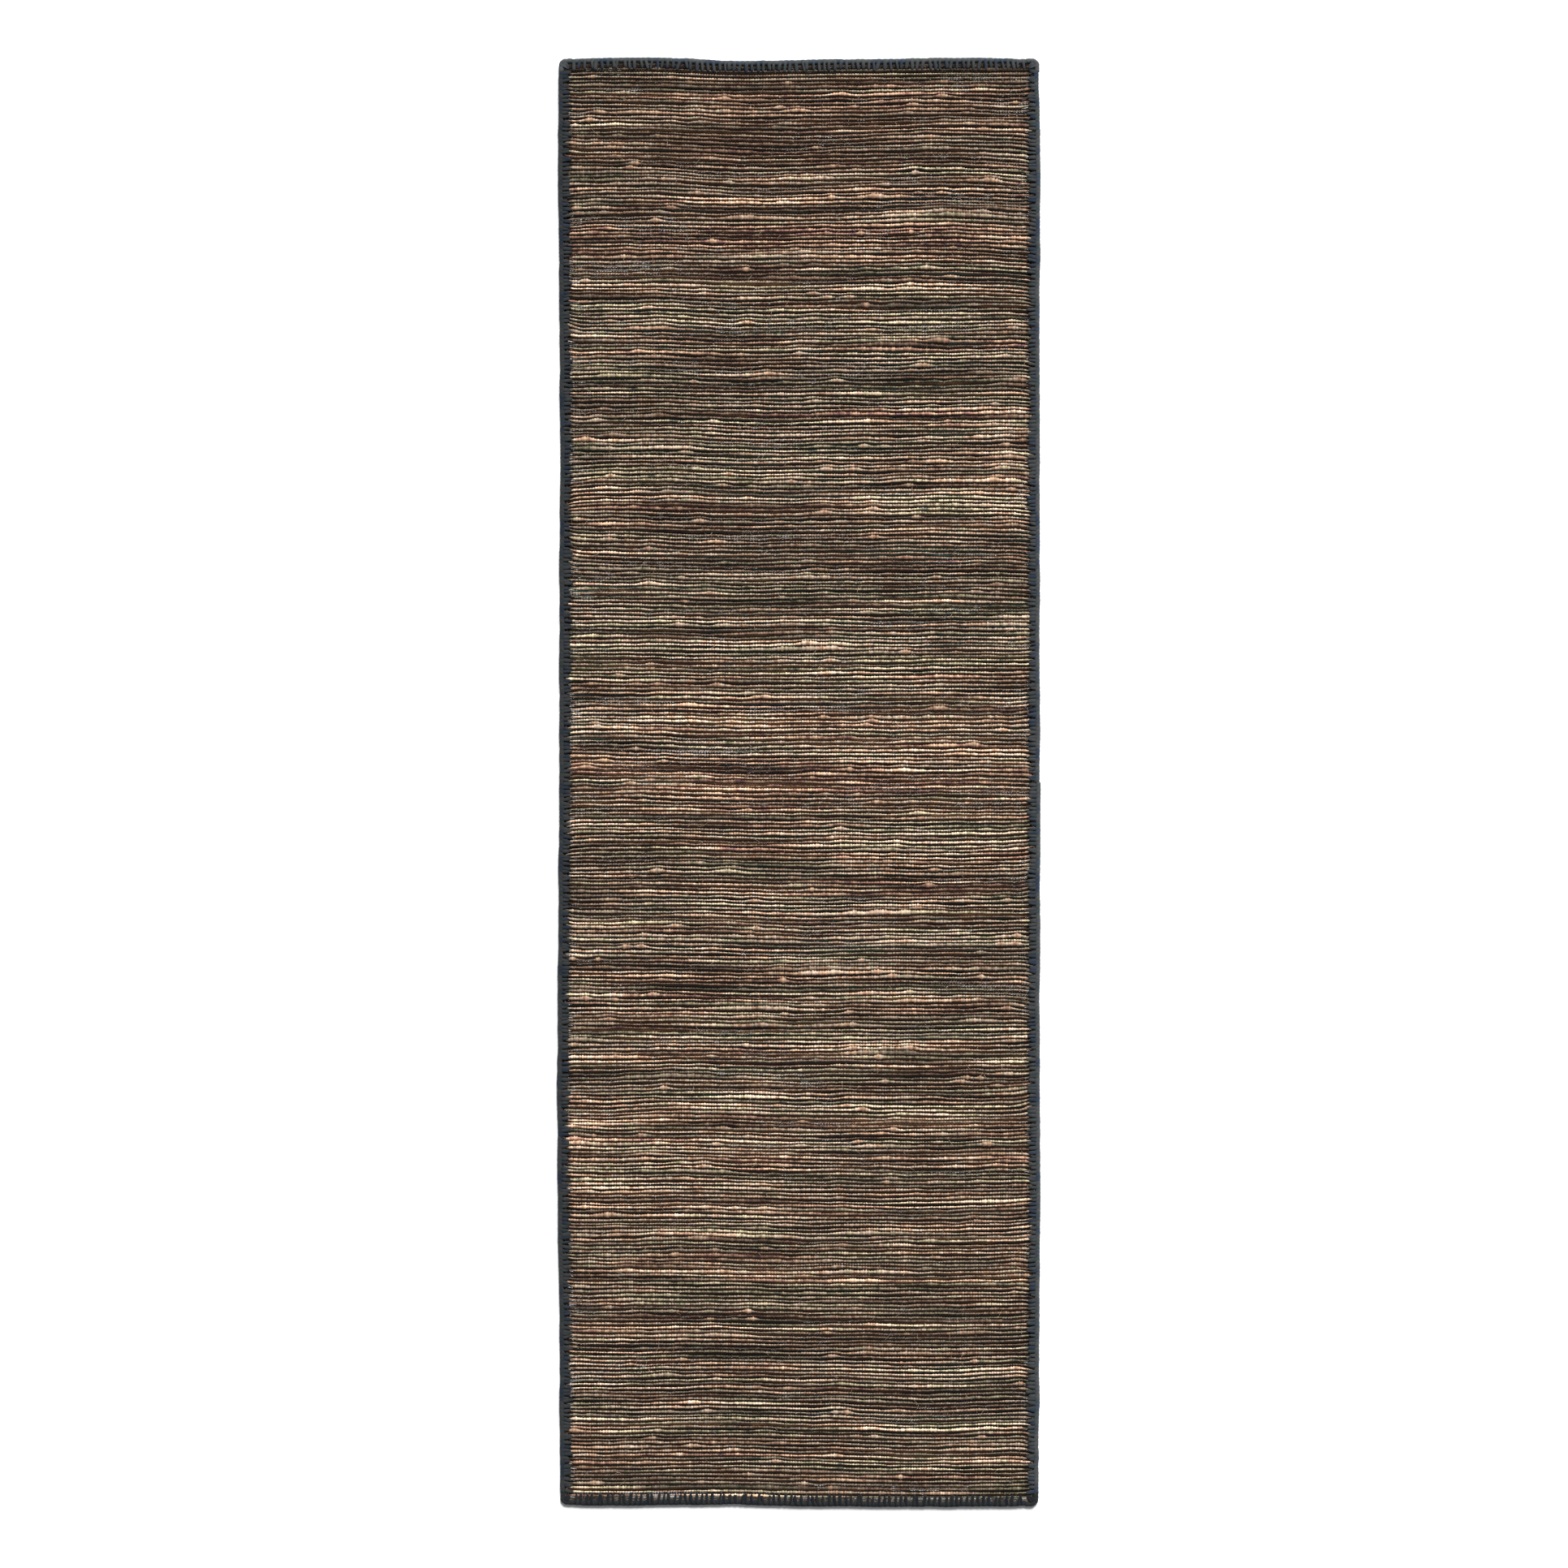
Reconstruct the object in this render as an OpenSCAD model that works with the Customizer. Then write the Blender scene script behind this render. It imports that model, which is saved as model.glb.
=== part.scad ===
// Runner rug: a flat handwoven cloth of tan and dark weft on thin warp threads, with a
// whip-stitched yarn edge on all four sides. Millimetres. +Z is up and +Y runs along the
// rug. The origin is on the floor under the middle of the rug.
//
// The two wefts lie in two layers with the warp between them. Each weft is wound from
// several lengths of yarn, and each length runs to and fro across the rug, turning back
// at the selvage, so it is one long snake of yarn.

/* [Overall size] */
// Width over the stitched edges
rug_width = 610; // [300:5:1200]
// Length over the stitched edges
rug_length = 1830; // [900:10:3600]

/* [Weave] */
// Distance from one tan pass to the next, with a dark pass halfway
pass_pitch = 5.05; // [4.2:0.05:8]
// Diameter of the tan weft yarn
tan_diameter = 2.5; // [1.6:0.1:3]
// Diameter of the dark weft yarn
dark_diameter = 2.1; // [1.4:0.1:3]
// Diameter of a warp thread
warp_diameter = 0.7; // [0.4:0.05:1.2]
// Distance from one warp thread to the next
warp_pitch = 3.4; // [1.6:0.1:6]
// Lengths of yarn that each weft is wound from
weft_yarns = 12; // [2:1:18]

/* [Selvages and headings] */
// Warp threads that lie side by side as the cord in each selvage
selvage_threads = 3; // [1:1:4]
// Fine picks that lock the weave at each end
heading_picks = 4; // [2:2:8]
// Diameter of a heading pick
heading_diameter = 0.9; // [0.5:0.1:1.5]

/* [Stitched edge] */
// Width of the rolled ridge at the very edge
ridge_width = 6; // [3:0.5:12]
// Length of a stitch leg, from the ridge in over the cloth
leg_length = 7.5; // [4:0.5:15]
// Diameter of the edge yarn, which is how far it stands proud of the cloth
edge_yarn = 1.4; // [0.8:0.1:2.5]
// Distance from one stitch to the next along the sides
side_stitch_pitch = 5; // [3:0.25:10]
// Distance from one stitch to the next along the ends
end_stitch_pitch = 7; // [3:0.25:12]
// Share of the stitch pitch that a leg covers
leg_share = 0.42; // [0.2:0.05:0.7]
// Side of the square that the yarn is wound over at each corner
corner_side = 16; // [12:1:30]
// Needlefuls of yarn that stitch each long side
side_yarns = 4; // [1:1:8]

/* [Hidden] */
$fn = 32;
// Gap left between yarns that only touch
touch_gap = 0.05;
tan_colour = [0.62, 0.49, 0.36];
dark_colour = [0.13, 0.13, 0.12];
warp_colour = [0.30, 0.24, 0.18];
edge_colour = [0.10, 0.13, 0.16];
LEFT = -1;
RIGHT = 1;
BOTTOM = -1;
TOP = 1;

// Heights of the layers, from the floor up.
dark_height = edge_yarn + touch_gap + dark_diameter / 2;
warp_height = dark_height + (dark_diameter + warp_diameter) / 2 + touch_gap;
tan_height = warp_height + (warp_diameter + tan_diameter) / 2 + touch_gap;
cloth_top = tan_height + tan_diameter / 2;
rug_thickness = cloth_top + touch_gap + edge_yarn;

// The cloth fills the space inside the ridges.
cloth_width = rug_width - 2 * (ridge_width + touch_gap);
cloth_length = rug_length - 2 * (ridge_width + touch_gap);

// The headings take the ends of the cloth. As many pairs of passes as fit fill the rest.
heading_pitch = heading_diameter + touch_gap;
heading_length = heading_picks * heading_pitch;
widest_yarn = max(tan_diameter, dark_diameter);
weave_room = cloth_length - 2 * (heading_length + touch_gap);
pass_pairs = floor((weave_room - widest_yarn) / pass_pitch + 0.5);
woven_length = (pass_pairs - 0.5) * pass_pitch + widest_yarn;

// A weft turns on a half circle, whose outside reaches the edge of the cloth.
turn_radius = pass_pitch / 2;
turn_x = to_grid(cloth_width / 2 - turn_radius - widest_yarn / 2);

// The selvage threads lie inside the turns, and the warp fills the width between them.
selvage_step = warp_diameter + touch_gap;
selvage_reach = turn_x + turn_radius - widest_yarn / 2 - warp_diameter / 2;
warp_reach = selvage_reach - selvage_threads * selvage_step;
warp_gaps = floor(2 * warp_reach / warp_pitch);
warp_step = 2 * warp_reach / warp_gaps;

// Stitches run between the corner wraps, and the needlefuls share a side evenly.
side_length = rug_length - 2 * corner_side;
end_length = rug_width - 2 * corner_side;
side_run = side_length / side_yarns;
leg_reach = ridge_width + leg_length;

// A pass and a turn meet face to face only if both ends land on the same round number.
function to_grid(value) = floor(value * 100) / 100;
function pass_y(pass) = -woven_length / 2 + widest_yarn / 2 + pass * pass_pitch;
function first_pass(number) = floor((number - 1) * pass_pairs / weft_yarns);
function turn_side(pass) = pass % 2 == 0 ? RIGHT : LEFT;

// The outline of a row of stitches seen from above: a ridge along the edge, at x = 0, and
// legs that point in along +X. The row is centred on y = 0, with the ridge alone at its ends.
function stitch_outline(length, pitch) =
    let (
        count = floor(length / pitch),
        step = length / count,
        leg = step * leg_share
    )
    concat(
        [[ridge_width, length / 2], [0, length / 2], [0, -length / 2], [ridge_width, -length / 2]],
        [
            for (i = [0:count - 1])
                let (middle = -length / 2 + (i + 0.5) * step)
                each [
                    [ridge_width, middle - leg / 2],
                    [leg_reach, middle - leg / 2],
                    [leg_reach, middle + leg / 2],
                    [ridge_width, middle + leg / 2]
                ]
        ]
    );

// A row of stitches wraps the edge of the cloth: a ridge outside it, and legs over and
// under it, with the space for the cloth between them. It just clears the next row.
module stitch_row(room, pitch) {
    length = room - 2 * touch_gap;
    color(edge_colour) difference() {
        linear_extrude(height = rug_thickness) polygon(stitch_outline(length, pitch));
        translate([ridge_width, -length / 2, edge_yarn])
            cube([2 * leg_length, length, rug_thickness - 2 * edge_yarn]);
    }
}

// At a corner the yarn goes round and round through one hole, and makes a solid block with
// a pocket that the corner of the cloth fits into.
module corner_wrap(x_side, y_side) {
    color(edge_colour) difference() {
        corner_block(x_side, y_side, 0, 0);
        corner_block(x_side, y_side, ridge_width, edge_yarn);
    }
}

// A block on the rug's corner, moved in from the edges by inset, and thinned by skin above
// and below. A block that is moved in runs out of the wrap, so that it cuts a pocket.
module corner_block(x_side, y_side, inset, skin) {
    translate([
        x_side * (rug_width - corner_side) / 2 - x_side * inset,
        y_side * (rug_length - corner_side) / 2 - y_side * inset,
        rug_thickness / 2
    ])
        cube([corner_side, corner_side, rug_thickness - 2 * skin], center = true);
}

// One pass of weft across the rug.
module weft_pass(diameter) {
    rotate([0, 90, 0])
        cylinder(d = diameter, h = 2 * turn_x, center = true);
}

// The half circle where a weft turns back at a selvage, from the pass before it.
module weft_turn(diameter, side) {
    translate([side * turn_x, turn_radius, 0])
        rotate([0, 0, side * -90])
            rotate_extrude(angle = 180)
                translate([turn_radius, 0])
                    circle(d = diameter);
}

// One length of weft, which starts on its first pass and snakes to its last.
module weft_yarn(number, diameter) {
    first = first_pass(number);
    passes = first_pass(number + 1) - first;
    union() {
        for (i = [0:passes - 1])
            translate([0, i * pass_pitch, 0]) {
                weft_pass(diameter);
                if (i < passes - 1)
                    weft_turn(diameter, turn_side(i));
            }
    }
}

module tan_weft_yarn(number) {
    color(tan_colour)
        translate([0, pass_y(first_pass(number)), tan_height])
            weft_yarn(number, tan_diameter);
}

// A dark pass lies halfway between two tan ones.
module dark_weft_yarn(number) {
    color(dark_colour)
        translate([0, pass_y(first_pass(number)) + pass_pitch / 2, dark_height])
            weft_yarn(number, dark_diameter);
}

// One thread that runs the whole length of the cloth.
module warp_thread(x) {
    translate([x, 0, warp_height])
        rotate([90, 0, 0])
            cylinder(d = warp_diameter, h = cloth_length, center = true);
}

module warp_threads() {
    color(warp_colour)
        for (i = [0:warp_gaps])
            warp_thread(-warp_reach + i * warp_step);
}

module selvage_cord(side) {
    color(warp_colour)
        for (i = [0:selvage_threads - 1])
            warp_thread(side * (selvage_reach - i * selvage_step));
}

// Fine picks, above and below the warp by turns.
module heading(side) {
    rise = (warp_diameter + heading_diameter) / 2 + touch_gap;
    color(warp_colour)
        for (i = [0:heading_picks - 1])
            translate([
                0,
                side * (cloth_length / 2 - (i + 0.5) * heading_pitch),
                warp_height + (i % 2 == 0 ? rise : -rise)
            ])
                weft_pass(heading_diameter);
}

module side_stitches(side, number) {
    translate([side * rug_width / 2, (number - 0.5) * side_run - side_length / 2, 0])
        rotate([0, 0, side == RIGHT ? 180 : 0])
            stitch_row(side_run, side_stitch_pitch);
}

module end_stitches(side) {
    translate([0, side * rug_length / 2, 0])
        rotate([0, 0, side * -90])
            stitch_row(end_length, end_stitch_pitch);
}

warp_threads();
selvage_cord(LEFT);  // selvage_cord_left
selvage_cord(RIGHT);  // selvage_cord_right
heading(TOP);  // heading_top
heading(BOTTOM);  // heading_bottom
for (i = [1:weft_yarns])
    tan_weft_yarn(i);
for (i = [1:weft_yarns])
    dark_weft_yarn(i);
for (i = [1:side_yarns])
    side_stitches(LEFT, i);
for (i = [1:side_yarns])
    side_stitches(RIGHT, i);
end_stitches(TOP);  // edge_stitches_top
end_stitches(BOTTOM);  // edge_stitches_bottom
corner_wrap(LEFT, TOP);  // corner_wrap_top_left
corner_wrap(RIGHT, TOP);  // corner_wrap_top_right
corner_wrap(LEFT, BOTTOM);  // corner_wrap_bottom_left
corner_wrap(RIGHT, BOTTOM);  // corner_wrap_bottom_right
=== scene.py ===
# %% [markdown]
# # A handwoven runner rug
#
# The rug is a plain weave. Two wefts take turns: a pale, lumpy, hand-spun yarn and a dark
# one. Both cross thin warp threads, over one and under the next. A thick soft yarn is
# stitched over all four edges. Everything here is yarn, so nearly every piece is a tube
# that follows a path, and the work is in the paths and in how the thickness changes.
#
# The CAD model comes first. It says where each length of yarn lies and how large the rug
# is. Each piece below takes the place of one of its nodes, apart from the stray fibres, which
# it doesn't have.

import bpy
import numpy as np
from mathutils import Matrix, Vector


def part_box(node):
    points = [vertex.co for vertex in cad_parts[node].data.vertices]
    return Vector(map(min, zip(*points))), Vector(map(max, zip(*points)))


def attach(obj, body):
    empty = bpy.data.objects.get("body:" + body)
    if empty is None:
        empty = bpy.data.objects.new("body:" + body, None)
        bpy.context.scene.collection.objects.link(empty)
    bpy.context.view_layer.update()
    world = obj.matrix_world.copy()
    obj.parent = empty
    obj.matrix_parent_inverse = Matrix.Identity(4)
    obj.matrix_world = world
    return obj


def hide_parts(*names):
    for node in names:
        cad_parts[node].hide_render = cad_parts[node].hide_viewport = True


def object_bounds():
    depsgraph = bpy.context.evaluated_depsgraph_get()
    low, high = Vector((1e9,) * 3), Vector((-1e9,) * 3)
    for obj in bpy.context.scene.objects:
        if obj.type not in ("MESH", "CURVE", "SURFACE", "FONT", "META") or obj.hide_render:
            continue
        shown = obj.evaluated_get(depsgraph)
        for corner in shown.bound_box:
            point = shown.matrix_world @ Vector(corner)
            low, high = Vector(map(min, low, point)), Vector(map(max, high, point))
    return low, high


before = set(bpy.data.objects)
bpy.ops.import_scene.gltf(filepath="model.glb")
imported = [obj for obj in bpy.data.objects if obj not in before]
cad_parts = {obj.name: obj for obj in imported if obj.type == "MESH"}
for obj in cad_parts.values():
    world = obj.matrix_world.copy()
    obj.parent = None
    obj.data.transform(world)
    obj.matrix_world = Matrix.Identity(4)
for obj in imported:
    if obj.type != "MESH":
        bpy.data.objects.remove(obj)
cad_box = [list(corner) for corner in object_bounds()]
(LEFT_X, BOTTOM_Y, _), (RIGHT_X, TOP_Y, EDGE_TOP_Z) = cad_box
RUG_WIDTH = RIGHT_X - LEFT_X
RUG_LENGTH = TOP_Y - BOTTOM_Y
MM = 0.001
print(f"rug {RUG_WIDTH:.3f} x {RUG_LENGTH:.3f} m, {EDGE_TOP_Z / MM:.1f} mm thick at its edge")


def nodes_named(start):
    """The CAD nodes whose names start so and end in a number, in order."""
    found = [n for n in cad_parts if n.startswith(start) and n[len(start):].isdigit()]
    return sorted(found, key=lambda n: int(n[len(start):]))


# %% [markdown]
# ## The camera
#
# The rug is seen from straight above, as a shop shows a rug. A long lens from far away
# keeps its sides parallel. The view is a square of floor a little longer than the rug, and
# the rug lies a little to the right of its middle.

# %% Camera
VIEW_SIDE = 1.984
VIEW_X = -0.0195
VIEW_Y = -0.002
LENS_MM = 120

lens = bpy.data.cameras.new("camera")
lens.lens = LENS_MM
camera = bpy.data.objects.new("camera", lens)
camera.location = (VIEW_X, VIEW_Y, VIEW_SIDE * LENS_MM / lens.sensor_width)
lens.clip_end = 50
bpy.context.collection.objects.link(camera)
bpy.context.scene.camera = camera
print(f"camera {camera.location.z:.2f} m above the floor")

# %% [markdown]
# ## Hand-spun randomness
#
# Hand-spun yarn changes slowly in thickness, with a sudden lump here and there. `drift`
# gives the slow changes: random knots with a smooth curve between them. Every stream of
# random numbers has its own seed, so the rug is the same each time it is made.

# %% Smooth random values
def drift(count, span, random):
    """count smooth random values of about unit size, which change over about span steps."""
    knots = random.normal(size=int(count / span) + 3)
    at = np.arange(count) / span + random.uniform()
    low = at.astype(int)
    share = at - low
    share = share * share * (3 - 2 * share)
    return knots[low] * (1 - share) + knots[low + 1] * share


def drift_over(rows, columns, row_span, column_span, random):
    """The same in two directions: a value for each row and column."""
    knots = random.normal(size=(int(rows / row_span) + 3, int(columns / column_span) + 3))
    values = knots
    for axis, (count, span) in enumerate([(rows, row_span), (columns, column_span)]):
        at = np.arange(count) / span
        low = at.astype(int)
        share = (at - low) ** 2 * (3 - 2 * (at - low))
        share = share.reshape((-1, 1) if axis == 0 else (1, -1))
        values = values.take(low, axis) * (1 - share) + values.take(low + 1, axis) * share
    return values


def lumps(count, every, span, random):
    """Lumps of random size and place, on average one in every so many steps."""
    found = np.zeros(count)
    for _ in range(int(count / every)):
        middle = random.integers(0, count)
        reach = span * random.uniform(0.6, 1.6)
        low, high = max(0, int(middle - 3 * reach)), min(count, int(middle + 3 * reach))
        steps = np.arange(low, high)
        size = random.uniform(0.35, 1.0)
        found[low:high] = np.maximum(found[low:high], size * np.exp(-((steps - middle) / reach) ** 2))
    return found


# %% [markdown]
# ## How the cloth lies
#
# No handwoven rug is a true rectangle. The sides bow by a few millimetres, and the corners
# pull in where the stitching is tight. Every piece is built straight first, and its points
# then move by the same slow bend, so that nothing comes apart.
#
# Each side wanders in and out on its own, from random numbers with a seed for each side.

# %% The bend of the sides
BOW = 1.1 * MM
BOW_STEPS = 200
BOW_SPAN = 45  # steps over which a side's bow changes
CORNER_PULL = 1.6 * MM
CORNER_PULL_SHARE = 0.04  # of the side's length, from each corner


def side_bow(seed):
    """How far a side moves out at even steps along it, in metres."""
    wander = BOW * drift(BOW_STEPS, BOW_SPAN, np.random.default_rng(seed)).clip(-1.8, 1.8)
    share = np.linspace(0, 1, BOW_STEPS)
    from_corner = np.minimum(share, 1 - share)
    return wander - CORNER_PULL * np.exp(-from_corner / CORNER_PULL_SHARE)


BOWS = {side: side_bow(seed) for seed, side in enumerate(("left", "right", "top", "bottom"), start=61)}


def bow(side, share):
    """A side's bow at a share of its length, from 0 to 1."""
    return np.interp(share, np.linspace(0, 1, BOW_STEPS), BOWS[side])


def settle(points):
    """Moves points of the straight rug to where they lie on the real one."""
    across = (points[..., 0] - LEFT_X) / RUG_WIDTH
    along = (points[..., 1] - BOTTOM_Y) / RUG_LENGTH
    moved = points.copy()
    moved[..., 0] += across * bow("right", along) - (1 - across) * bow("left", along)
    moved[..., 1] += along * bow("top", across) - (1 - along) * bow("bottom", across)
    return moved


# %% [markdown]
# ## The rows
#
# The CAD gives each length of weft as a straight snake. Its box gives the number of rows
# and their places. Across the rug, the places that matter are where a row meets a warp
# thread. Counted from 0, a tan row goes over the odd ones as a bead, and under the even ones,
# which show as thin dark ticks. A dark row does the opposite.

# %% Where rows and warp threads cross
PASS_PITCH = 5.05 * MM
TAN_DIAMETER = 2.5 * MM
WARP_STEP = 1.7 * MM

tan_nodes = nodes_named("tan_weft_yarn_")
dark_nodes = nodes_named("dark_weft_yarn_")


def rows_in(node, diameter):
    low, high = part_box(node)
    return round((high[1] - low[1] - diameter) / PASS_PITCH) + 1


rows_per_yarn = [rows_in(n, TAN_DIAMETER) for n in tan_nodes]
ROWS = sum(rows_per_yarn)
first_tan_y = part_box(tan_nodes[0])[0][1] + TAN_DIAMETER / 2
tan_y = first_tan_y + PASS_PITCH * np.arange(ROWS)
dark_y = tan_y + PASS_PITCH / 2

turn_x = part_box(tan_nodes[0])[1][0] - PASS_PITCH / 2 - TAN_DIAMETER / 2
BEADS = int(turn_x / WARP_STEP)
CROSSINGS = 2 * BEADS + 1
warp_x = np.linspace(-turn_x, turn_x, CROSSINGS)
print(f"{ROWS} rows of each weft, {CROSSINGS} warp threads, {BEADS} beads in a row")

# %% [markdown]
# ## Thickness, and how rows push each other
#
# A lump in one row pushes the next rows away, and they close up again a few rows later,
# because each row is beaten straight. So the error in place fades by a fixed share from
# one row to the next, which gives the long soft ripples of a handwoven cloth.

# %% Thickness and place of every row at every warp thread
FADE = 0.72
PUSH_REACH = 9  # crossings over which a lump's push spreads along the row
TAN_PUSH = 2.3 * MM
DARK_PUSH = 1.9 * MM
RIPPLE = 1.1 * MM
SMALL_RIPPLE = 0.2 * MM
END_CURL = 2.4 * MM
CURL_REACH = 9 * MM
WANDER = 0.5 * MM
STRAIGHT_ROWS = 8  # rows over which the ripples grow from the straight end
random = np.random.default_rng(11)


def in_rows(values):
    """Values along the yarn as rows. Every second row is woven back the other way."""
    rows = values.reshape(ROWS, CROSSINGS)
    rows[1::2] = rows[1::2, ::-1]
    return rows


def yarn_lumps(seed, every, span):
    return in_rows(lumps(ROWS * CROSSINGS, every, span, np.random.default_rng(seed)))


def thickness(seed, slow, quick):
    """A yarn's thickness at each crossing, as a share of its usual one."""
    source = np.random.default_rng(seed)
    count = ROWS * CROSSINGS
    value = slow * drift(count, 55, source) + quick * drift(count, 6, source)
    return in_rows(np.exp(value + 0.06 * source.normal(size=count)))


slubs = yarn_lumps(23, 1500, 13)  # long, loosely spun stretches
lump = yarn_lumps(24, 130, 4)
nubs = yarn_lumps(25, 480, 3.2)  # single beads that stand out
tan_thick = (thickness(21, 0.28, 0.16) + 0.8 * slubs + 0.6 * lump + 1.7 * nubs).clip(0.5, 3.0)
dark_thick = (thickness(22, 0.24, 0.12) + 0.6 * yarn_lumps(26, 400, 9)).clip(0.5, 2.0)


def spread_along(values, reach):
    blur = np.hanning(2 * reach + 1)
    blur /= blur.sum()
    padded = np.pad(values, ((0, 0), (reach, reach)), mode="edge")
    return np.apply_along_axis(lambda row: np.convolve(row, blur, mode="valid"), 1, padded)


def pushed_places():
    """How far each row lies from its straight line, for the tan and the dark rows."""
    grown = [
        spread_along(thick - thick.mean(), PUSH_REACH) * size
        for thick, size in [(tan_thick, TAN_PUSH), (dark_thick, DARK_PUSH)]
    ]
    error = np.zeros(CROSSINGS)
    places = [[], []]
    for row in range(ROWS):
        for weft in (0, 1):
            more = grown[weft][row]
            places[weft].append(error * FADE + more / 2)
            error = error * FADE + more
    return np.array(places[0]), np.array(places[1])


tan_push, dark_push = pushed_places()
ripple = RIPPLE * drift_over(ROWS, CROSSINGS, 26, 90, random)
ripple += SMALL_RIPPLE * drift_over(ROWS, CROSSINGS, 9, 40, random)
end_curl = END_CURL * drift_over(ROWS, 2, 14, 1, random)
from_end = np.minimum(warp_x - warp_x[0], warp_x[-1] - warp_x)
curl_share = np.exp(-from_end / CURL_REACH)
curl = np.where(warp_x < 0, end_curl[:, :1], end_curl[:, 1:]) * curl_share
wander = WANDER * drift_over(ROWS, CROSSINGS, 40, 60, random)
end_room = np.minimum(1, (np.arange(ROWS) + 0.5) / STRAIGHT_ROWS)
end_room = np.minimum(end_room, end_room[::-1])[:, None]
tan_rows_y = tan_y[:, None] + (tan_push + ripple + curl) * end_room
dark_rows_y = dark_y[:, None] + (dark_push + ripple + curl) * end_room
print(f"rows wander by {np.std(tan_rows_y - tan_y[:, None]) / MM:.2f} mm")

# %% [markdown]
# ## Height
#
# The cloth lies on the floor, and it is thinner than the stitched edge, so near the edge it
# rises to the middle of the ridge. Within the cloth a weft rises over one warp thread and
# dips under the next.

# %% Height of the cloth
CLOTH_MIDDLE = 2.1 * MM
EDGE_MIDDLE = EDGE_TOP_Z / 2
WAVE = 0.5 * MM
SLOPE_START = 9 * MM
SLOPE_LENGTH = 24 * MM


def cloth_height(x, y):
    """The height of the middle of the cloth."""
    inward = np.minimum(RUG_WIDTH / 2 - np.abs(x), RUG_LENGTH / 2 - np.abs(y))
    share = ((inward - SLOPE_START) / SLOPE_LENGTH).clip(0, 1)
    share = share * share * (3 - 2 * share)
    return EDGE_MIDDLE + (CLOTH_MIDDLE - EDGE_MIDDLE) * share


# %% [markdown]
# ## Tubes
#
# One function makes every tube: rings of points round a path, joined by quads, with a cap
# at each end. It can take many paths at once, so that all the legs of a needleful are one
# call.
# Whole arrays of points and faces go into the mesh in a few steps, since adding millions of
# faces one by one would take very long.
#
# The tube's own UV map lays each path out in long strips, so that a picture baked on it
# would hold the colours in the order in which they lie along the yarn.

# %% A mesh of tubes
def tubes(name, centre, across, half_width, half_height, angles, per_strip, values):
    """Makes an object from paths of rings. centre is paths x rings x 3, across points
    sideways from the path, and values are named numbers for each ring."""
    paths, rings = centre.shape[:2]
    sides = len(angles)
    up = np.array([0.0, 0.0, 1.0])
    if across.shape[-1] == 6:  # paths that climb bring their own upward direction
        across, up = across[..., :3], across[..., 3:]
        up = up[:, :, None]
    sideways = (half_width[..., None] * np.cos(angles))[..., None] * across[:, :, None]
    upwards = (half_height[..., None] * np.sin(angles))[..., None] * up
    points = settle(centre[:, :, None] + sideways + upwards).reshape(-1, 3)

    segments = np.arange(paths * (rings - 1))
    start = (segments // (rings - 1)) * rings + segments % (rings - 1)
    side = np.arange(sides)
    after = (side + 1) % sides
    low = start[:, None] * sides
    quads = np.stack([low + side, low + after, low + sides + after, low + sides + side], 2)
    ends = np.arange(paths) * rings * sides
    first_caps = ends[:, None] + side[::-1]
    last_caps = ends[:, None] + (rings - 1) * sides + side
    corners = np.concatenate([quads.ravel(), first_caps.ravel(), last_caps.ravel()])
    counts = np.concatenate([np.full(quads.size // 4, 4), np.full(2 * paths, sides)])

    strips = -(-len(segments) // per_strip)
    u = (segments % per_strip) / per_strip
    v = (segments // per_strip) / strips
    quad_uv = np.empty((len(segments), sides, 4, 2))
    quad_uv[..., 0] = u[:, None, None] + np.array([0, 0, 1, 1]) / per_strip
    turned = np.stack([side, side + 1, side + 1, side], 1) / sides
    quad_uv[..., 1] = v[:, None, None] + turned * 0.94 / strips
    cap_shape = np.stack([np.cos(2 * np.pi * side / sides), np.sin(2 * np.pi * side / sides)], 1)
    cap_uv = 0.5 + cap_shape * 0.5
    at = segments[:: rings - 1]
    corner_of = np.stack([u[at], v[at]], 1)
    cap_uv = corner_of[:, None] + cap_uv * (1 / per_strip, 0.9 / strips)
    uv = np.concatenate([quad_uv.reshape(-1, 2), cap_uv.reshape(-1, 2), cap_uv.reshape(-1, 2)])

    mesh = bpy.data.meshes.new(name)
    mesh.vertices.add(len(points))
    mesh.vertices.foreach_set("co", points.astype(np.float32).ravel())
    mesh.loops.add(len(corners))
    mesh.loops.foreach_set("vertex_index", corners.astype(np.int32))
    mesh.polygons.add(len(counts))
    mesh.polygons.foreach_set("loop_start", np.concatenate([[0], np.cumsum(counts)[:-1]]))
    mesh.update(calc_edges=True)
    layer = mesh.uv_layers.new(name="OFBake")
    layer.uv.foreach_set("vector", uv.astype(np.float32).ravel())
    for key, numbers in values.items():
        if numbers.ndim == 2:  # one number for a whole ring
            numbers = np.repeat(numbers[..., None], sides, axis=2)
        held = mesh.attributes.new(key, "FLOAT", "POINT")
        held.data.foreach_set("value", numbers.astype(np.float32).ravel())
    piece = bpy.data.objects.new(name, mesh)
    bpy.context.collection.objects.link(piece)
    return piece


def sideways_of(path):
    """The level direction at right angles to each path."""
    ahead = np.gradient(path, axis=1)
    across = np.stack([-ahead[..., 1], ahead[..., 0], np.zeros(path.shape[:2])], -1)
    return across / np.maximum(np.linalg.norm(across, axis=-1, keepdims=True), 1e-9)


def run_along(path):
    """The distance along each path, in metres."""
    steps = np.linalg.norm(np.diff(path, axis=1), axis=-1)
    return np.concatenate([np.zeros((len(path), 1)), np.cumsum(steps, axis=1)], axis=1)


def finish_piece(piece, material, slot, *replaced):
    piece.data.materials.append(material)
    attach(piece, "root")
    if replaced:
        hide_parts(*replaced)
    return piece
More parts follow.
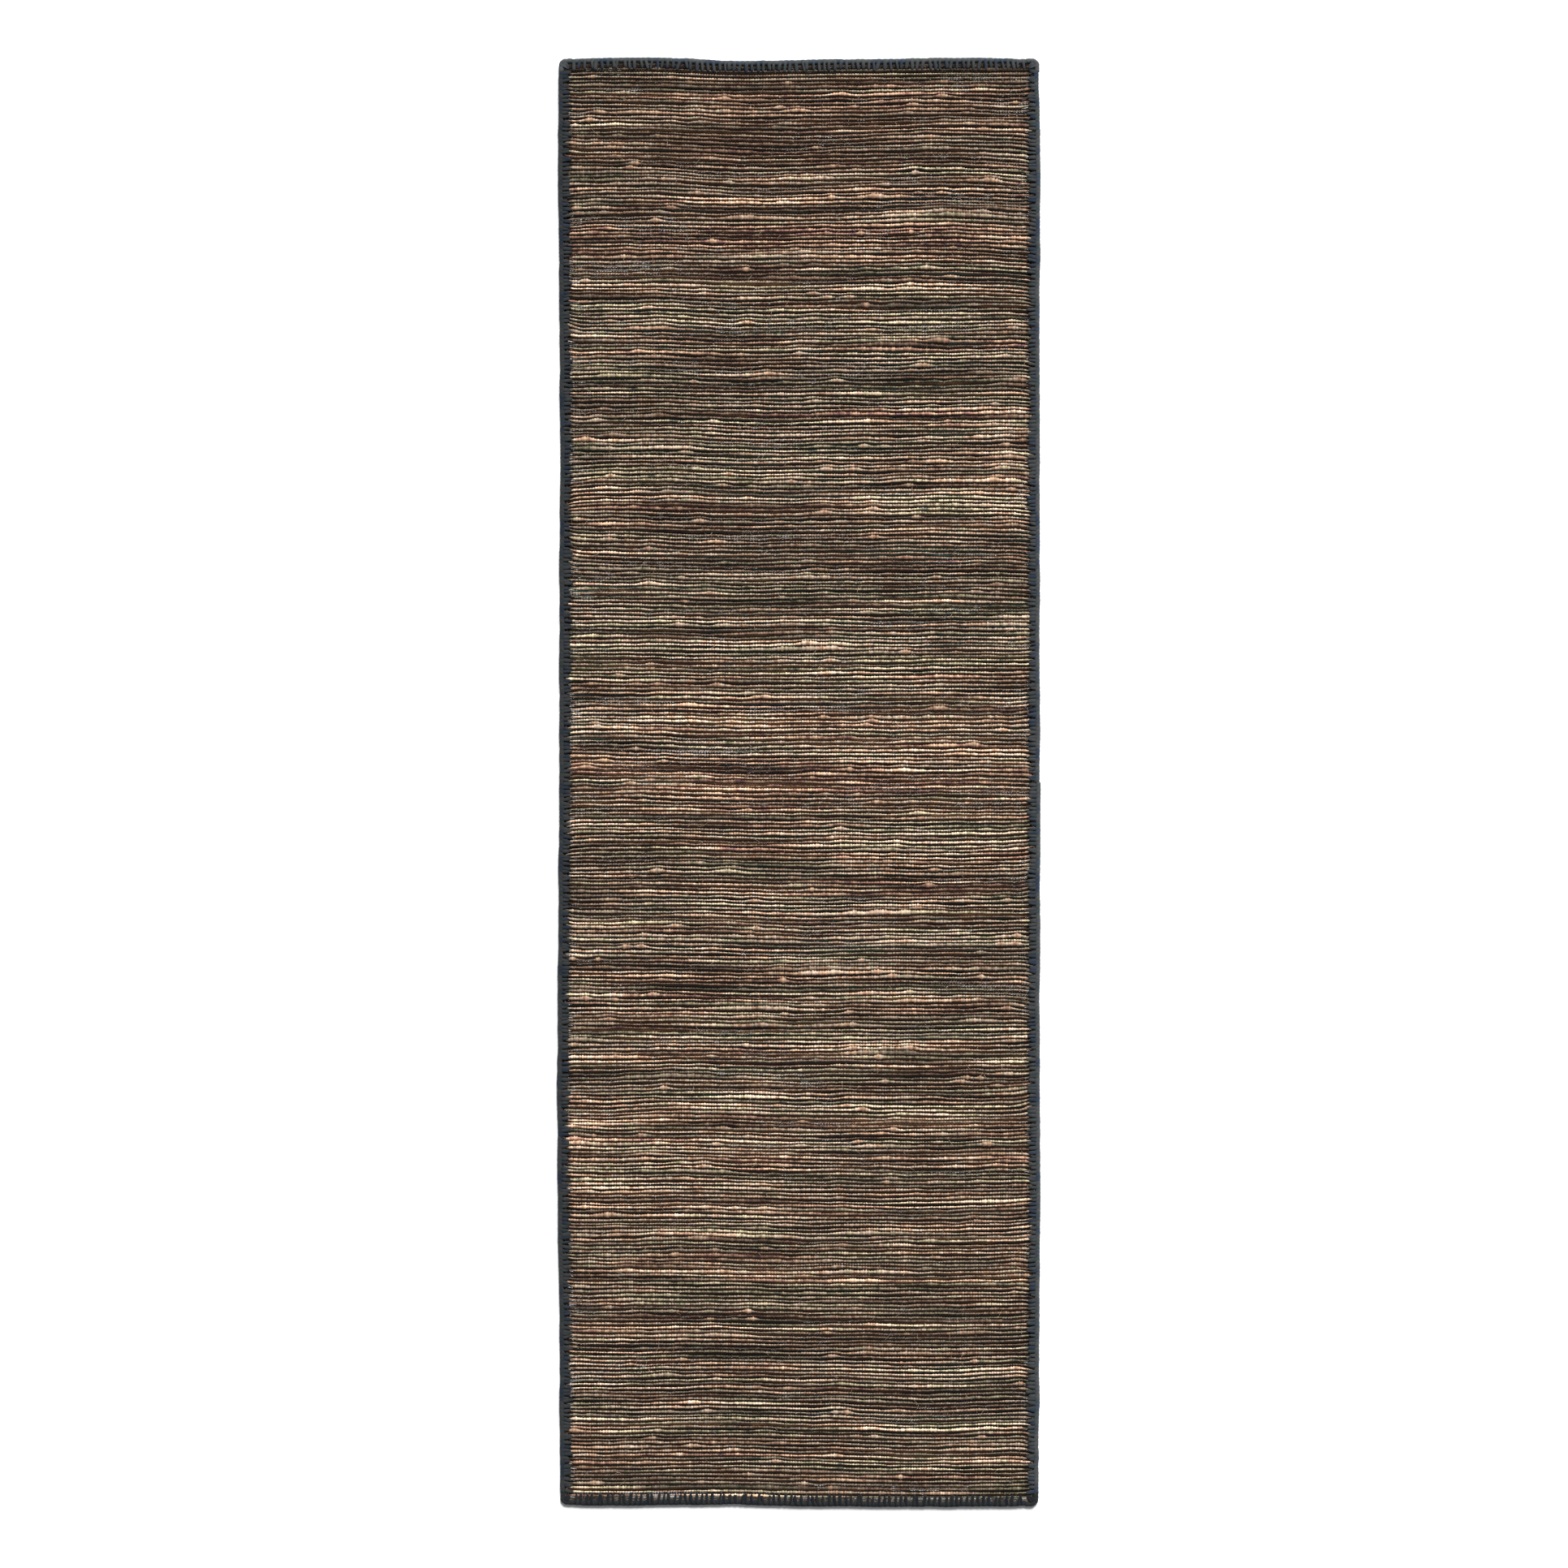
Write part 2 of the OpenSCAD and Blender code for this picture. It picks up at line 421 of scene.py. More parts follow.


# %% [markdown]
# ## Yarn materials
#
# Spun plant fibre is matt, with a soft glow where the light grazes loose hairs, which the
# Principled shader's sheen gives. Its colour changes along the yarn, because the spinner
# feeds in handfuls of fibre of different colours. Each ring of a weft carries a tone, how
# light it is, and a hue, which picks a colour from a ramp. Each ring also knows how far along
# the yarn it is, and noise along that distance makes the beads differ from each other. A
# third number is painted light and shade: it is 1 where the surface faces up and towards the
# lamp, less at a waist between beads, and 0 on the side away from the lamp, down in the gap
# between rows, and the colour goes to a dark painted shade as it falls.
#
# The small relief of the fibres is a bump, from noise drawn out along the yarn.

# %% Helpers for materials
def add_node(tree, kind, **inputs):
    """A shader node with the inputs given. A link or a plain value may be given."""
    made = tree.nodes.new(kind)
    for key, value in inputs.items():
        socket = made.inputs[int(key[1:]) if key[1:].isdigit() else key.replace("_", " ")]
        if isinstance(value, bpy.types.NodeSocket):
            tree.links.new(value, socket)
        else:
            socket.default_value = value
    return made


def math_node(tree, operation, first, second=0.0):
    made = add_node(tree, "ShaderNodeMath", i0=first, i1=second)
    made.operation = operation
    return made.outputs[0]


def ring_value(tree, name):
    made = tree.nodes.new("ShaderNodeAttribute")
    made.attribute_name = name
    return made.outputs["Fac"]


def noise_along(tree, span, start):
    """Noise from 0 to 1 along the yarn that changes over about span metres."""
    place = math_node(tree, "MULTIPLY_ADD", ring_value(tree, "along"), 1 / span)
    place.node.inputs[2].default_value = start
    noise = tree.nodes.new("ShaderNodeTexNoise")
    noise.noise_dimensions = "1D"
    tree.links.new(place, noise.inputs["W"])
    noise.inputs["Scale"].default_value = 1.0
    noise.inputs["Detail"].default_value = 1.0
    wide = add_node(tree, "ShaderNodeMapRange", Value=noise.outputs["Fac"],
                    From_Min=0.3, From_Max=0.7)
    return wide.outputs["Result"]


def colour_ramp(tree, place, stops):
    made = add_node(tree, "ShaderNodeValToRGB", Fac=place)
    ramp = made.color_ramp
    while len(ramp.elements) < len(stops):
        ramp.elements.new(0.5)
    for element, (at, colour) in zip(ramp.elements, stops):
        element.position = at
        element.color = (*colour, 1)
    return made.outputs["Color"]


def mix_colours(tree, share, first, second, blend="MIX"):
    made = tree.nodes.new("ShaderNodeMix")
    made.data_type = "RGBA"
    made.blend_type = blend
    sockets = (made.inputs[0], made.inputs[6], made.inputs[7])
    for socket, value in zip(sockets, (share, first, second)):
        if isinstance(value, bpy.types.NodeSocket):
            tree.links.new(value, socket)
        else:
            socket.default_value = value
    return made.outputs[2]


def times(tree, colour, level):
    """A colour made lighter or darker by a level."""
    grey = add_node(tree, "ShaderNodeCombineColor", i0=level, i1=level, i2=level)
    return mix_colours(tree, 1.0, colour, grey.outputs[0], "MULTIPLY")


def fibre_noise(tree, stretch, detail=2.0):
    """Noise in streaks: stretch is how many per metre along X, Y and Z."""
    place = tree.nodes.new("ShaderNodeTexCoord").outputs["Object"]
    scaled = add_node(tree, "ShaderNodeVectorMath", i0=place)
    scaled.operation = "MULTIPLY"
    scaled.inputs[1].default_value = stretch
    noise = add_node(tree, "ShaderNodeTexNoise", Vector=scaled.outputs[0],
                     Scale=1.0, Detail=detail)
    return noise.outputs["Fac"]


def yarn_material(name, make_colour, streaks, relief, sheen, sheen_tint, specular=0.25):
    """A matt yarn. make_colour draws its colour, and relief is the height of its fibres."""
    material = bpy.data.materials.new(name)
    material.use_nodes = True
    tree = material.node_tree
    shader = tree.nodes["Principled BSDF"]
    fibres = fibre_noise(tree, streaks)
    colour = make_colour(tree)
    shade = add_node(tree, "ShaderNodeMapRange", Value=fibres,
                     From_Min=0.3, From_Max=0.7, To_Min=0.72, To_Max=1.2)
    tree.links.new(times(tree, colour, shade.outputs[0]), shader.inputs["Base Color"])
    rough = add_node(tree, "ShaderNodeMapRange", Value=fibres, To_Min=0.78, To_Max=0.98)
    tree.links.new(rough.outputs[0], shader.inputs["Roughness"])
    bump = add_node(tree, "ShaderNodeBump", Strength=0.9, Distance=relief, Height=fibres)
    tree.links.new(bump.outputs[0], shader.inputs["Normal"])
    shader.inputs["Sheen Weight"].default_value = sheen
    shader.inputs["Sheen Roughness"].default_value = 0.5
    shader.inputs["Sheen Tint"].default_value = (*sheen_tint, 1)
    shader.inputs["Specular IOR Level"].default_value = specular
    return material


# %% Colours of the four yarns
def ranged(tree, value, low, high):
    """A value from 0 to 1 as one from low to high."""
    return add_node(tree, "ShaderNodeMapRange", Value=value, To_Min=low, To_Max=high).outputs[0]


def tan_colour(tree):
    """From slate green through straw, cream and gold to rust and plum."""
    fleck = ranged(tree, noise_along(tree, 0.012, 3.0), -0.12, 0.12)
    hue = math_node(tree, "ADD", ring_value(tree, "hue"), fleck)
    colour = colour_ramp(tree, hue, [
        (0.00, (0.15, 0.17, 0.15)),
        (0.16, (0.46, 0.41, 0.25)),
        (0.33, (0.82, 0.69, 0.44)),
        (0.48, (0.92, 0.70, 0.53)),
        (0.60, (0.83, 0.54, 0.34)),
        (0.74, (0.62, 0.38, 0.26)),
        (0.88, (0.46, 0.24, 0.17)),
        (1.00, (0.24, 0.13, 0.13)),
    ])
    each_bead = ranged(tree, noise_along(tree, 0.005, 5.0), 0.62, 1.3)
    level = math_node(tree, "MULTIPLY", ring_value(tree, "tone"), each_bead)
    lit = times(tree, colour, level)
    # Painted shade: the colour multiplied by a dark brown, used where the painted light is low. The lit
    # colour is kept where the painted light is high.
    painted_shade = mix_colours(tree, 1.0, lit, (0.07, 0.03, 0.016, 1), "MULTIPLY")
    return mix_colours(tree, ring_value(tree, "painted_light"), painted_shade, lit)


def dark_colour(tree):
    """Charcoal and black-brown, with lengths of navy, bottle green and plum."""
    colour = colour_ramp(tree, ring_value(tree, "hue"), [
        (0.00, (0.003, 0.005, 0.012)),
        (0.22, (0.003, 0.006, 0.004)),
        (0.42, (0.006, 0.003, 0.002)),
        (0.60, (0.011, 0.005, 0.002)),
        (0.80, (0.022, 0.010, 0.004)),
        (1.00, (0.020, 0.005, 0.004)),
    ])
    stretch = ranged(tree, noise_along(tree, 0.02, 9.0), 0.7, 1.3)
    level = math_node(tree, "MULTIPLY", ring_value(tree, "tone"), stretch)
    return times(tree, colour, level)


def warp_colour(tree):
    return colour_ramp(tree, noise_along(tree, 0.05, 2.0), [
        (0.0, (0.030, 0.020, 0.013)),
        (0.6, (0.060, 0.042, 0.028)),
        (1.0, (0.120, 0.085, 0.055)),
    ])


def edge_colour(tree):
    """Faded charcoal and navy, with a little bottle green."""
    colour = colour_ramp(tree, noise_along(tree, 0.035, 6.0), [
        (0.00, (0.014, 0.021, 0.034)),
        (0.30, (0.026, 0.030, 0.034)),
        (0.55, (0.036, 0.038, 0.039)),
        (0.80, (0.022, 0.029, 0.029)),
        (1.00, (0.022, 0.029, 0.041)),
    ])
    return times(tree, colour, ring_value(tree, "tone"))


ALONG_X = (320, 1900, 1900)
ALONG_Y = (2200, 500, 2200)
ALL_WAYS = (900, 900, 1500)
TAN = yarn_material("tan slub yarn", tan_colour, ALONG_X, 0.35 * MM, 0.05, (0.95, 0.86, 0.72), 0.15)
DARK = yarn_material("dark slub yarn", dark_colour, ALONG_X, 0.35 * MM, 0.02, (0.5, 0.5, 0.52), 0.1)
WARP = yarn_material("warp thread", warp_colour, ALONG_Y, 0.15 * MM, 0.05, (0.6, 0.55, 0.5))
EDGE = yarn_material("edge yarn", edge_colour, ALL_WAYS, 0.4 * MM, 0.10, (0.62, 0.66, 0.72), 0.15)

# %% [markdown]
# ## Weaving the two wefts
#
# Each length of yarn is one long path. A tan bead has three rings: a shoulder at each side
# of the warp thread it crosses, and a pinched waist between beads. The dark yarn has two.
# At the selvage the path goes round a half circle, and the two wefts part in height there,
# because they cross each other outside the last warp thread.
#
# The rug has a few broad bands, since the weaver changed batch now and then. Each is given by
# where its middle lies, how light it is and how warm. Random drift blurs them.

# %% One path per length of yarn
BANDS = (  # share of the length from the bottom end, tone, warmth from slate -1 to rust 1
    (0.00, 0.7, 0.1),
    (0.12, 0.9, 0.1),
    (0.25, 1.2, 0.4),
    (0.38, 0.9, -0.3),
    (0.52, 1.2, 0.3),
    (0.62, 1.0, -0.1),
    (0.78, 0.8, -0.3),
    (0.92, 0.9, 0.3),
    (1.00, 0.6, 0.2),
)
BAND_TONE = 1  # columns of BANDS
BAND_WARMTH = 2
TURN_ANGLES = np.radians([-62, -22, 22, 62])


def band(column, y):
    """The tone or the warmth of the broad band at a place."""
    middles, values = [b[0] for b in BANDS], [b[column] for b in BANDS]
    return np.interp((y - BOTTOM_Y) / RUG_LENGTH, middles, values)


def weft_colours(rows_y, seed, spread):
    """The tone and the hue at each crossing. Both hold for a stretch of a row, and a little
    of each holds for a few rows, since one batch of fibre fills them."""
    source = np.random.default_rng(seed)
    shape = (ROWS, CROSSINGS)
    batch, handful = (drift_over(*shape, 2.4, 130, source) for _ in range(2))
    single = drift_over(*shape, 0.9, 130, source)
    tone = 0.13 * batch + 0.56 * single + 0.30 * drift_over(*shape, 0.9, 36, source)
    tone += 0.16 * drift_over(*shape, 0.9, 10, source)
    hue = 0.09 * handful + 0.13 * drift_over(*shape, 0.9, 70, source)
    hue += 0.09 * drift_over(*shape, 0.9, 12, source)
    tone += 0.10 * drift(ROWS, 12, source)[:, None]
    hue += 0.05 * drift(ROWS, 9, source)[:, None]
    hue += 0.48 + 0.16 * band(BAND_WARMTH, rows_y) - 0.05 * np.minimum(single, 0)
    return band(BAND_TONE, rows_y) * np.exp(spread * tone), hue.clip(0.14, 0.92)


tan_tone, tan_hue = weft_colours(tan_rows_y, 41, 1.0)
dark_tone, dark_hue = weft_colours(dark_rows_y, 42, 0.9)
TAN_LEVEL = 0.59
SLUB_LIGHTER = 0.35
SLUB_HUE = 0.57
NUB_TONE = 0.66
NUB_HUE = 0.63
LAST_ROW_SHADE = 0.35  # the last row lies in the shade of the stitches
tan_tone = (TAN_LEVEL * tan_tone * (1 + SLUB_LIGHTER * slubs)).clip(0.10, 1.3)
tan_tone += nubs * (NUB_TONE - tan_tone)
tan_tone[-1] *= LAST_ROW_SHADE
tan_hue = tan_hue * (1 - slubs) + SLUB_HUE * slubs
tan_hue += nubs * (NUB_HUE - tan_hue)


def at_rings(values, ring_at):
    """Row values at the warp threads, read off at places between them."""
    low = np.floor(ring_at).astype(int).clip(0, CROSSINGS - 2)
    share = ring_at - low
    return values[:, low] * (1 - share) + values[:, low + 1] * share


ROW_JITTER = 0.09 * MM
FLOOR_GAP = 0.15 * MM
PART_REACH = 6 * MM  # from the end of a row, where the two wefts part in height
# How fast the painted light falls off from the side of a bead that faces the lamp.
PAINTED_LIGHT_SHARPNESS = 2.0


def weave(rows_y, thick, colours, width, height, bead_first, ring_steps, waist, parted, seed):
    """Every ring of every row of a weft: x, y, z, half width, half height, phase, tone, hue."""
    source = np.random.default_rng(seed)
    step = np.arange(bead_first, CROSSINGS - 1, 2)
    ring_at = (step[:, None] + np.array(ring_steps)).ravel()
    ring_at = ring_at[(ring_at >= 0) & (ring_at <= CROSSINGS - 1)]
    phase = np.cos(np.pi * (ring_at - bead_first))  # 1 on a bead, -1 at a waist
    fat = waist + (1 - waist) * (phase * 0.5 + 0.5) ** 0.6
    uneven = (1 + 0.12 * source.normal(size=(ROWS, len(ring_at)))).clip(0.7, 1.3)
    size = at_rings(thick, ring_at) * uneven
    x = at_rings(warp_x[None] + wander, ring_at)
    y = at_rings(rows_y, ring_at) + ROW_JITTER * source.normal(size=size.shape)
    half_width = width * size * fat
    half_height = height * size**0.7 * fat
    edge = np.exp(-at_rings(from_end[None], ring_at) / PART_REACH)
    z = cloth_height(x, y) + WAVE * phase * (1 - edge) + parted * edge
    z = np.maximum(z, half_height + FLOOR_GAP)
    tone, hue = (at_rings(c, ring_at) for c in colours)
    return np.stack([x, y, z, half_width, half_height, np.tile(phase, (ROWS, 1)), tone, hue], -1)


def snake(rows):
    """Joins rows into one path, with a half circle of rings at each turn."""
    rows = rows.copy()
    rows[1::2] = rows[1::2, ::-1]
    pieces = []
    for here, there in zip(rows, [*rows[1:], None]):
        pieces.append(here)
        if there is not None:
            share = (np.sin(TURN_ANGLES) * 0.5 + 0.5)[:, None]
            turn = here[-1] * (1 - share) + there[0] * share
            turn[:, 0] += np.sign(here[-1, 0]) * PASS_PITCH / 2 * np.cos(TURN_ANGLES)
            turn[:, 3:5] *= 0.9
            turn[:, 5] = -1
            pieces.append(turn)
    return np.concatenate(pieces)[None]


def weft_yarns(nodes, rows, angles, material, slot):
    """Makes one object for each length of yarn of a weft."""
    made = []
    start = 0
    distance = 0.0
    for node, count in zip(nodes, rows_per_yarn):
        path = snake(rows[start:start + count])
        centre, phase = path[..., :3], path[..., 5]
        along = run_along(centre) + distance
        across = sideways_of(centre)
        # Painted light and shade: facing is how far each side of a ring faces up and towards the lamp.
        # The value is 1 there, lower at a waist, and 0 on the side away from the lamp.
        facing = across[..., 1:2] * np.cos(angles) * 0.5 + np.sin(angles) * 0.87
        painted_light = (phase * 0.18 + 0.82)[..., None] * facing.clip(0, 1) ** PAINTED_LIGHT_SHARPNESS
        values = {"along": along, "tone": path[..., 6], "hue": path[..., 7], "painted_light": painted_light}
        per_row = rows.shape[1] + len(TURN_ANGLES)
        piece = tubes(node + "_woven", centre, across, path[..., 3], path[..., 4], angles,
                      per_row, values)
        made.append(finish_piece(piece, material, slot, node))
        start += count
        distance = along[0, -1] + 1.0
    faces = sum(len(p.data.polygons) for p in made)
    print(f"{slot}: {len(made)} lengths of yarn, {distance - len(made):.0f} m in all, {faces} faces")
    return made


TAN_SIDES = np.radians([15, 65, 115, 165, 270])
DARK_SIDES = np.radians([10, 90, 170, 270])
PARTED = 1.1 * MM
WAIST = 0.84
ROW_END_MM = 11.8
ROW_END_SPREAD_MM = 1.9
PINCH_LENGTH = 6 * MM

# The stitching pinches the ends of the rows, each at a slightly different place. The same
# ramp darkens the tan rows there as painted shade from the stitches.
row_end = (ROW_END_MM + ROW_END_SPREAD_MM * random.normal(size=(ROWS, 2))) * MM
row_end = np.where(warp_x[None] < 0, row_end[:, :1], row_end[:, 1:])
pinch_and_painted_shade = ((RUG_WIDTH / 2 - np.abs(warp_x)[None] - row_end) / PINCH_LENGTH).clip(0, 1)
# Painted shade: the tan tone falls to a quarter towards the row ends, under the stitches.
tan_colours = (tan_tone * (0.25 + 0.75 * pinch_and_painted_shade), tan_hue)
tan_rows = weave(tan_rows_y, tan_thick * (0.45 + 0.55 * pinch_and_painted_shade), tan_colours,
                 width=1.5 * MM, height=1.35 * MM, bead_first=1,
                 ring_steps=(-0.45, 0.45, 1.0), waist=WAIST, parted=PARTED, seed=31)
tan_yarns = weft_yarns(tan_nodes, tan_rows, TAN_SIDES, TAN, "tan_weft")
dark_rows = weave(dark_rows_y, dark_thick, (dark_tone, dark_hue),
                  width=1.24 * MM, height=1.15 * MM, bead_first=0,
                  ring_steps=(0.0, 1.0), waist=WAIST, parted=-PARTED, seed=32)
dark_yarns = weft_yarns(dark_nodes, dark_rows, DARK_SIDES, DARK, "dark_weft")

# %% [markdown]
# ## Warp threads
#
# Only the threads that pass over the tan rows are seen, as ticks between the beads. Each
# one climbs over every tan row and drops under every dark one, so it has one ring at each.
# The threads are so thin that a three-sided tube is enough.

# %% Warp threads
WARP_RADIUS = 0.33 * MM
WARP_BUNDLES = 4
THREE_SIDES = np.radians([30, 150, 270])
OVER_TAN = 1.3 * MM * 0.80
UNDER_DARK = 1.2 * MM
LOWEST_WARP = 0.4 * MM

tan_cloth = cloth_height(warp_x[None] + wander, tan_rows_y)
dark_cloth = cloth_height(warp_x[None] + wander, dark_rows_y)
seen = np.arange(2, CROSSINGS - 2, 2)
over_tan = tan_cloth - WAVE + OVER_TAN * tan_thick**0.7 + 0.1 * MM
under_dark = dark_cloth + WAVE - UNDER_DARK * dark_thick**0.7
thread_x = np.stack([warp_x[None] + wander] * 2, 1).reshape(2 * ROWS, CROSSINGS)[:, seen]
thread_y = np.stack([tan_rows_y, dark_rows_y], 1).reshape(2 * ROWS, CROSSINGS)[:, seen]
thread_z = np.stack([over_tan, under_dark], 1).reshape(2 * ROWS, CROSSINGS)[:, seen]
thread_path = np.stack([thread_x, thread_y, thread_z.clip(LOWEST_WARP, None)], -1).transpose(1, 0, 2)
for number, some in enumerate(np.array_split(np.arange(len(seen)), WARP_BUNDLES), start=1):
    path = thread_path[some]
    radius = np.full(path.shape[:2], WARP_RADIUS)
    values = {"along": run_along(path) + 3.0 * some[:, None]}
    bundle = tubes(f"warp_threads_{number}", path, sideways_of(path), radius, radius,
                   THREE_SIDES, path.shape[1] - 1, values)
    finish_piece(bundle, WARP, "warp", "warp_threads")
print(f"{len(seen)} warp threads are seen")

# %% [markdown]
# ## Selvage cords and headings
#
# The outermost warp threads lie side by side as a cord, which the wefts turn round. At each
# end a few fine picks lock the last row. The stitching hides nearly all of both, but a glimpse
# shows between two stitches, so they are real threads and not left out.

# %% Threads under the stitching
FIVE_SIDES = np.radians([15, 90, 165, 235, 305])
SELVAGE_THREADS = 3
HEADING_PICKS = 4


def hidden_threads(node, axis, count, radius, colour_start):
    """Thin threads side by side in a node's box, along X (axis 0) or Y (axis 1)."""
    low, high = (np.array(corner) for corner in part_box(node))
    source = np.random.default_rng(int(colour_start))
    rings = int((high[axis] - low[axis]) / (3 * MM))
    path = np.empty((count, rings, 3))
    path[..., axis] = np.linspace(low[axis] + MM, high[axis] - MM, rings)
    places = low[1 - axis] + (np.arange(count) + 0.5) * (high[1 - axis] - low[1 - axis]) / count
    path[..., 1 - axis] = places[:, None] + 0.1 * MM * source.normal(size=(count, rings))
    weave_height = WAVE * (-1.0) ** (np.arange(rings)[None] + np.arange(count)[:, None])
    path[..., 2] = EDGE_MIDDLE + weave_height
    size = np.full(path.shape[:2], radius)
    values = {"along": run_along(path) + colour_start}
    piece = tubes(node + "_threads", path, sideways_of(path), size, size, FIVE_SIDES, rings - 1, values)
    return finish_piece(piece, WARP, "warp", node)


for number, node in enumerate(["selvage_cord_left", "selvage_cord_right"]):
    hidden_threads(node, 1, SELVAGE_THREADS, 0.4 * MM, 50.0 + number)
for number, node in enumerate(["heading_top", "heading_bottom"]):
    hidden_threads(node, 0, HEADING_PICKS, 0.45 * MM, 60.0 + number)

# %% [markdown]
# ## The stitched edge
#
# A thick, soft yarn is stitched over the edge. Outside the cloth the loops of the stitches
# catch each other and make a rolled ridge, which looks like a short rope laid along the
# edge. From it a leg of each stitch runs in over the cloth and goes down through it, and
# another runs back underneath. A hand stitch is never quite even, so each leg has its own
# length, lean and thickness. The legs are wider apart on the ends than on the sides, where
# they slip between the rows.
#
# The ridge is two strands that wind round each other, and a leg is a short flat tube that
# narrows where it dives into the cloth.

# %% Ridge and legs
RIDGE_MIDDLE = 3.5 * MM
STRAND_RADIUS = 3.0 * MM
STRAND_WIND = 0.4 * MM
STRAND_RISE = 0.6 * MM
STRAND_TALLER = 1.1
UNDER_HEIGHT = 1.1 * MM  # the lowest that the middle of a leg lies
RIDGE_SIDES = 2 * np.pi * np.arange(8) / 8
LEG_SIDES = 2 * np.pi * np.arange(6) / 6
RING_STEP = 1.5 * MM
UP = np.array([0.0, 0.0, 1.0])


def from_edge(side, along, depth):
    """A place on the level: so far along a side, and so far in from its edge."""
    if side == "left":
        return np.stack([LEFT_X + depth, along], -1)
    if side == "right":
        return np.stack([RIGHT_X - depth, along], -1)
    if side == "top":
        return np.stack([along, TOP_Y - depth], -1)
    return np.stack([along, BOTTOM_Y + depth], -1)


def strands(level_path, inward, wind_length, source):
    """Two strands wound round a level path. inward is the level direction into the rug."""
    rings = len(level_path)
    steps = np.linalg.norm(np.diff(level_path, axis=0), axis=1)
    distance = np.concatenate([[0], np.cumsum(steps)])
    wobble = 0.2 * MM * drift(rings, 9, source) + 0.35 * MM * drift(rings, 30, source)
    paths, sizes = [], []
    for turn in (0.0, np.pi):
        angle = 2 * np.pi * distance / wind_length + turn + 0.35 * drift(rings, 12, source)
        out = STRAND_WIND * np.cos(angle) + wobble
        path = np.empty((rings, 3))
        path[:, :2] = level_path + inward * out[:, None]
        path[:, 2] = EDGE_MIDDLE + STRAND_RISE * np.sin(angle)
        paths.append(path)
        sizes.append(STRAND_RADIUS * (1 + 0.03 * drift(rings, 4, source)))
    return np.array(paths), np.array(sizes)


def framed(path):
    """Sideways and upward directions for paths that climb, as six numbers for each ring."""
    ahead = np.gradient(path, axis=1)
    ahead /= np.maximum(np.linalg.norm(ahead, axis=-1, keepdims=True), 1e-9)
    across = np.cross(UP, ahead)
    across /= np.maximum(np.linalg.norm(across, axis=-1, keepdims=True), 1e-6)
    return np.concatenate([across, np.cross(ahead, across)], -1)


LEGS_PER_STRIP = 24
LEG_COLOUR_STEP = 0.037  # metres of yarn between one leg's colour and the next one's
LEG_SHAPE = np.array([0.9, 1.0, 1.0, 1.0, 0.98, 0.92, 0.78, 0.5])
SIDE_LEGS = dict(
    depths=np.array([4.4, 5.8, 7.4, 9.2, 10.9, 12.4, 13.5, 14.0]) * MM,
    heights=np.array([5.2, 6.3, 6.7, 6.6, 6.3, 5.8, 5.0, 3.8]) * MM,
    half_width=2.3 * MM, lean=0.12, uneven=0.14,
)
END_LEGS = dict(
    depths=np.array([2.0, 4.2, 6.4, 8.6, 10.8, 12.6, 13.9, 14.4]) * MM,
    heights=np.array([7.2, 7.75, 7.5, 7.0, 6.4, 5.8, 5.0, 3.8]) * MM,
    half_width=1.9 * MM, lean=0.12, uneven=0.09,
)


def legs(side, places, kind, source):
    """The legs of the stitches at these places, over the cloth and under it."""
    count = len(places)
    reach = 1 + kind["uneven"] * source.normal(size=count).clip(-1.8, 1.8)
    tilt = kind["lean"] * source.normal(size=count)
    width = kind["half_width"] * (1 + 0.12 * source.normal(size=count)).clip(0.7, 1.3)
    paths, sizes = [], []
    for under in (False, True):
        depth = RIDGE_MIDDLE + (kind["depths"] - RIDGE_MIDDLE)[None] * reach[:, None]
        along = places[:, None] + tilt[:, None] * (depth - RIDGE_MIDDLE)
        height = np.tile(kind["heights"], (count, 1))
        path = np.empty((count, len(LEG_SHAPE), 3))
        path[..., :2] = from_edge(side, along, depth)
        path[..., 2] = np.maximum(2 * EDGE_MIDDLE - height, UNDER_HEIGHT) if under else height
        paths.append(path)
        sizes.append(width[:, None] * LEG_SHAPE)
    return np.concatenate(paths), np.concatenate(sizes)


# The tones of the ridge and of the legs on each side: lightest on the top end, darkest on the
# bottom end, and lighter on the right than on the left.
EDGE_TONES = {"left": (0.7, 0.7), "right": (1.5, 1.1), "top": (1.7, 1.5), "bottom": (0.4, 0.25)}


def edge_pieces(name, ridge, ridge_size, leg, leg_size, tones, seed, replaced):
    """Makes the ridge and the legs of one needleful, and counts their faces."""
    ridge_tone, leg_tone = tones
    values = {"along": run_along(ridge) + seed, "tone": np.full(ridge.shape[:2], ridge_tone)}
    ridge_object = tubes(name + "_ridge", ridge, framed(ridge), ridge_size,
                         ridge_size * STRAND_TALLER, RIDGE_SIDES, ridge.shape[1] - 1, values)
    leg_along = run_along(leg) + seed + np.arange(len(leg))[:, None] * LEG_COLOUR_STEP
    values = {"along": leg_along, "tone": np.full(leg.shape[:2], leg_tone)}
    leg_object = tubes(name + "_legs", leg, framed(leg), leg_size, np.minimum(leg_size, MM),
                       LEG_SIDES, LEGS_PER_STRIP * (leg.shape[1] - 1), values)
    for piece in (ridge_object, leg_object):
        finish_piece(piece, EDGE, "edge_yarn", replaced)
    return len(ridge_object.data.polygons) + len(leg_object.data.polygons)


def stitch_piece(name, side, low, high, pitch, kind, seed, replaced):
    """One needleful: its stretch of the ridge and its legs, as one piece of yarn."""
    source = np.random.default_rng(seed)
    rings = int((high - low) / RING_STEP)
    at = np.linspace(low, high, rings)
    level = from_edge(side, at, np.full(rings, RIDGE_MIDDLE))
    inward = (from_edge(side, at, np.full(rings, 1.0)) - from_edge(side, at, np.zeros(rings)))
    ridge, ridge_size = strands(level, inward, 2 * pitch, source)
    count = int((high - low) / pitch)
    places = low + (np.arange(count) + 0.5) * (high - low) / count
    places = places + 0.10 * pitch * source.normal(size=count)
    leg, leg_size = legs(side, places, kind, source)
    return edge_pieces(name, ridge, ridge_size, leg, leg_size, EDGE_TONES[side], seed, replaced)


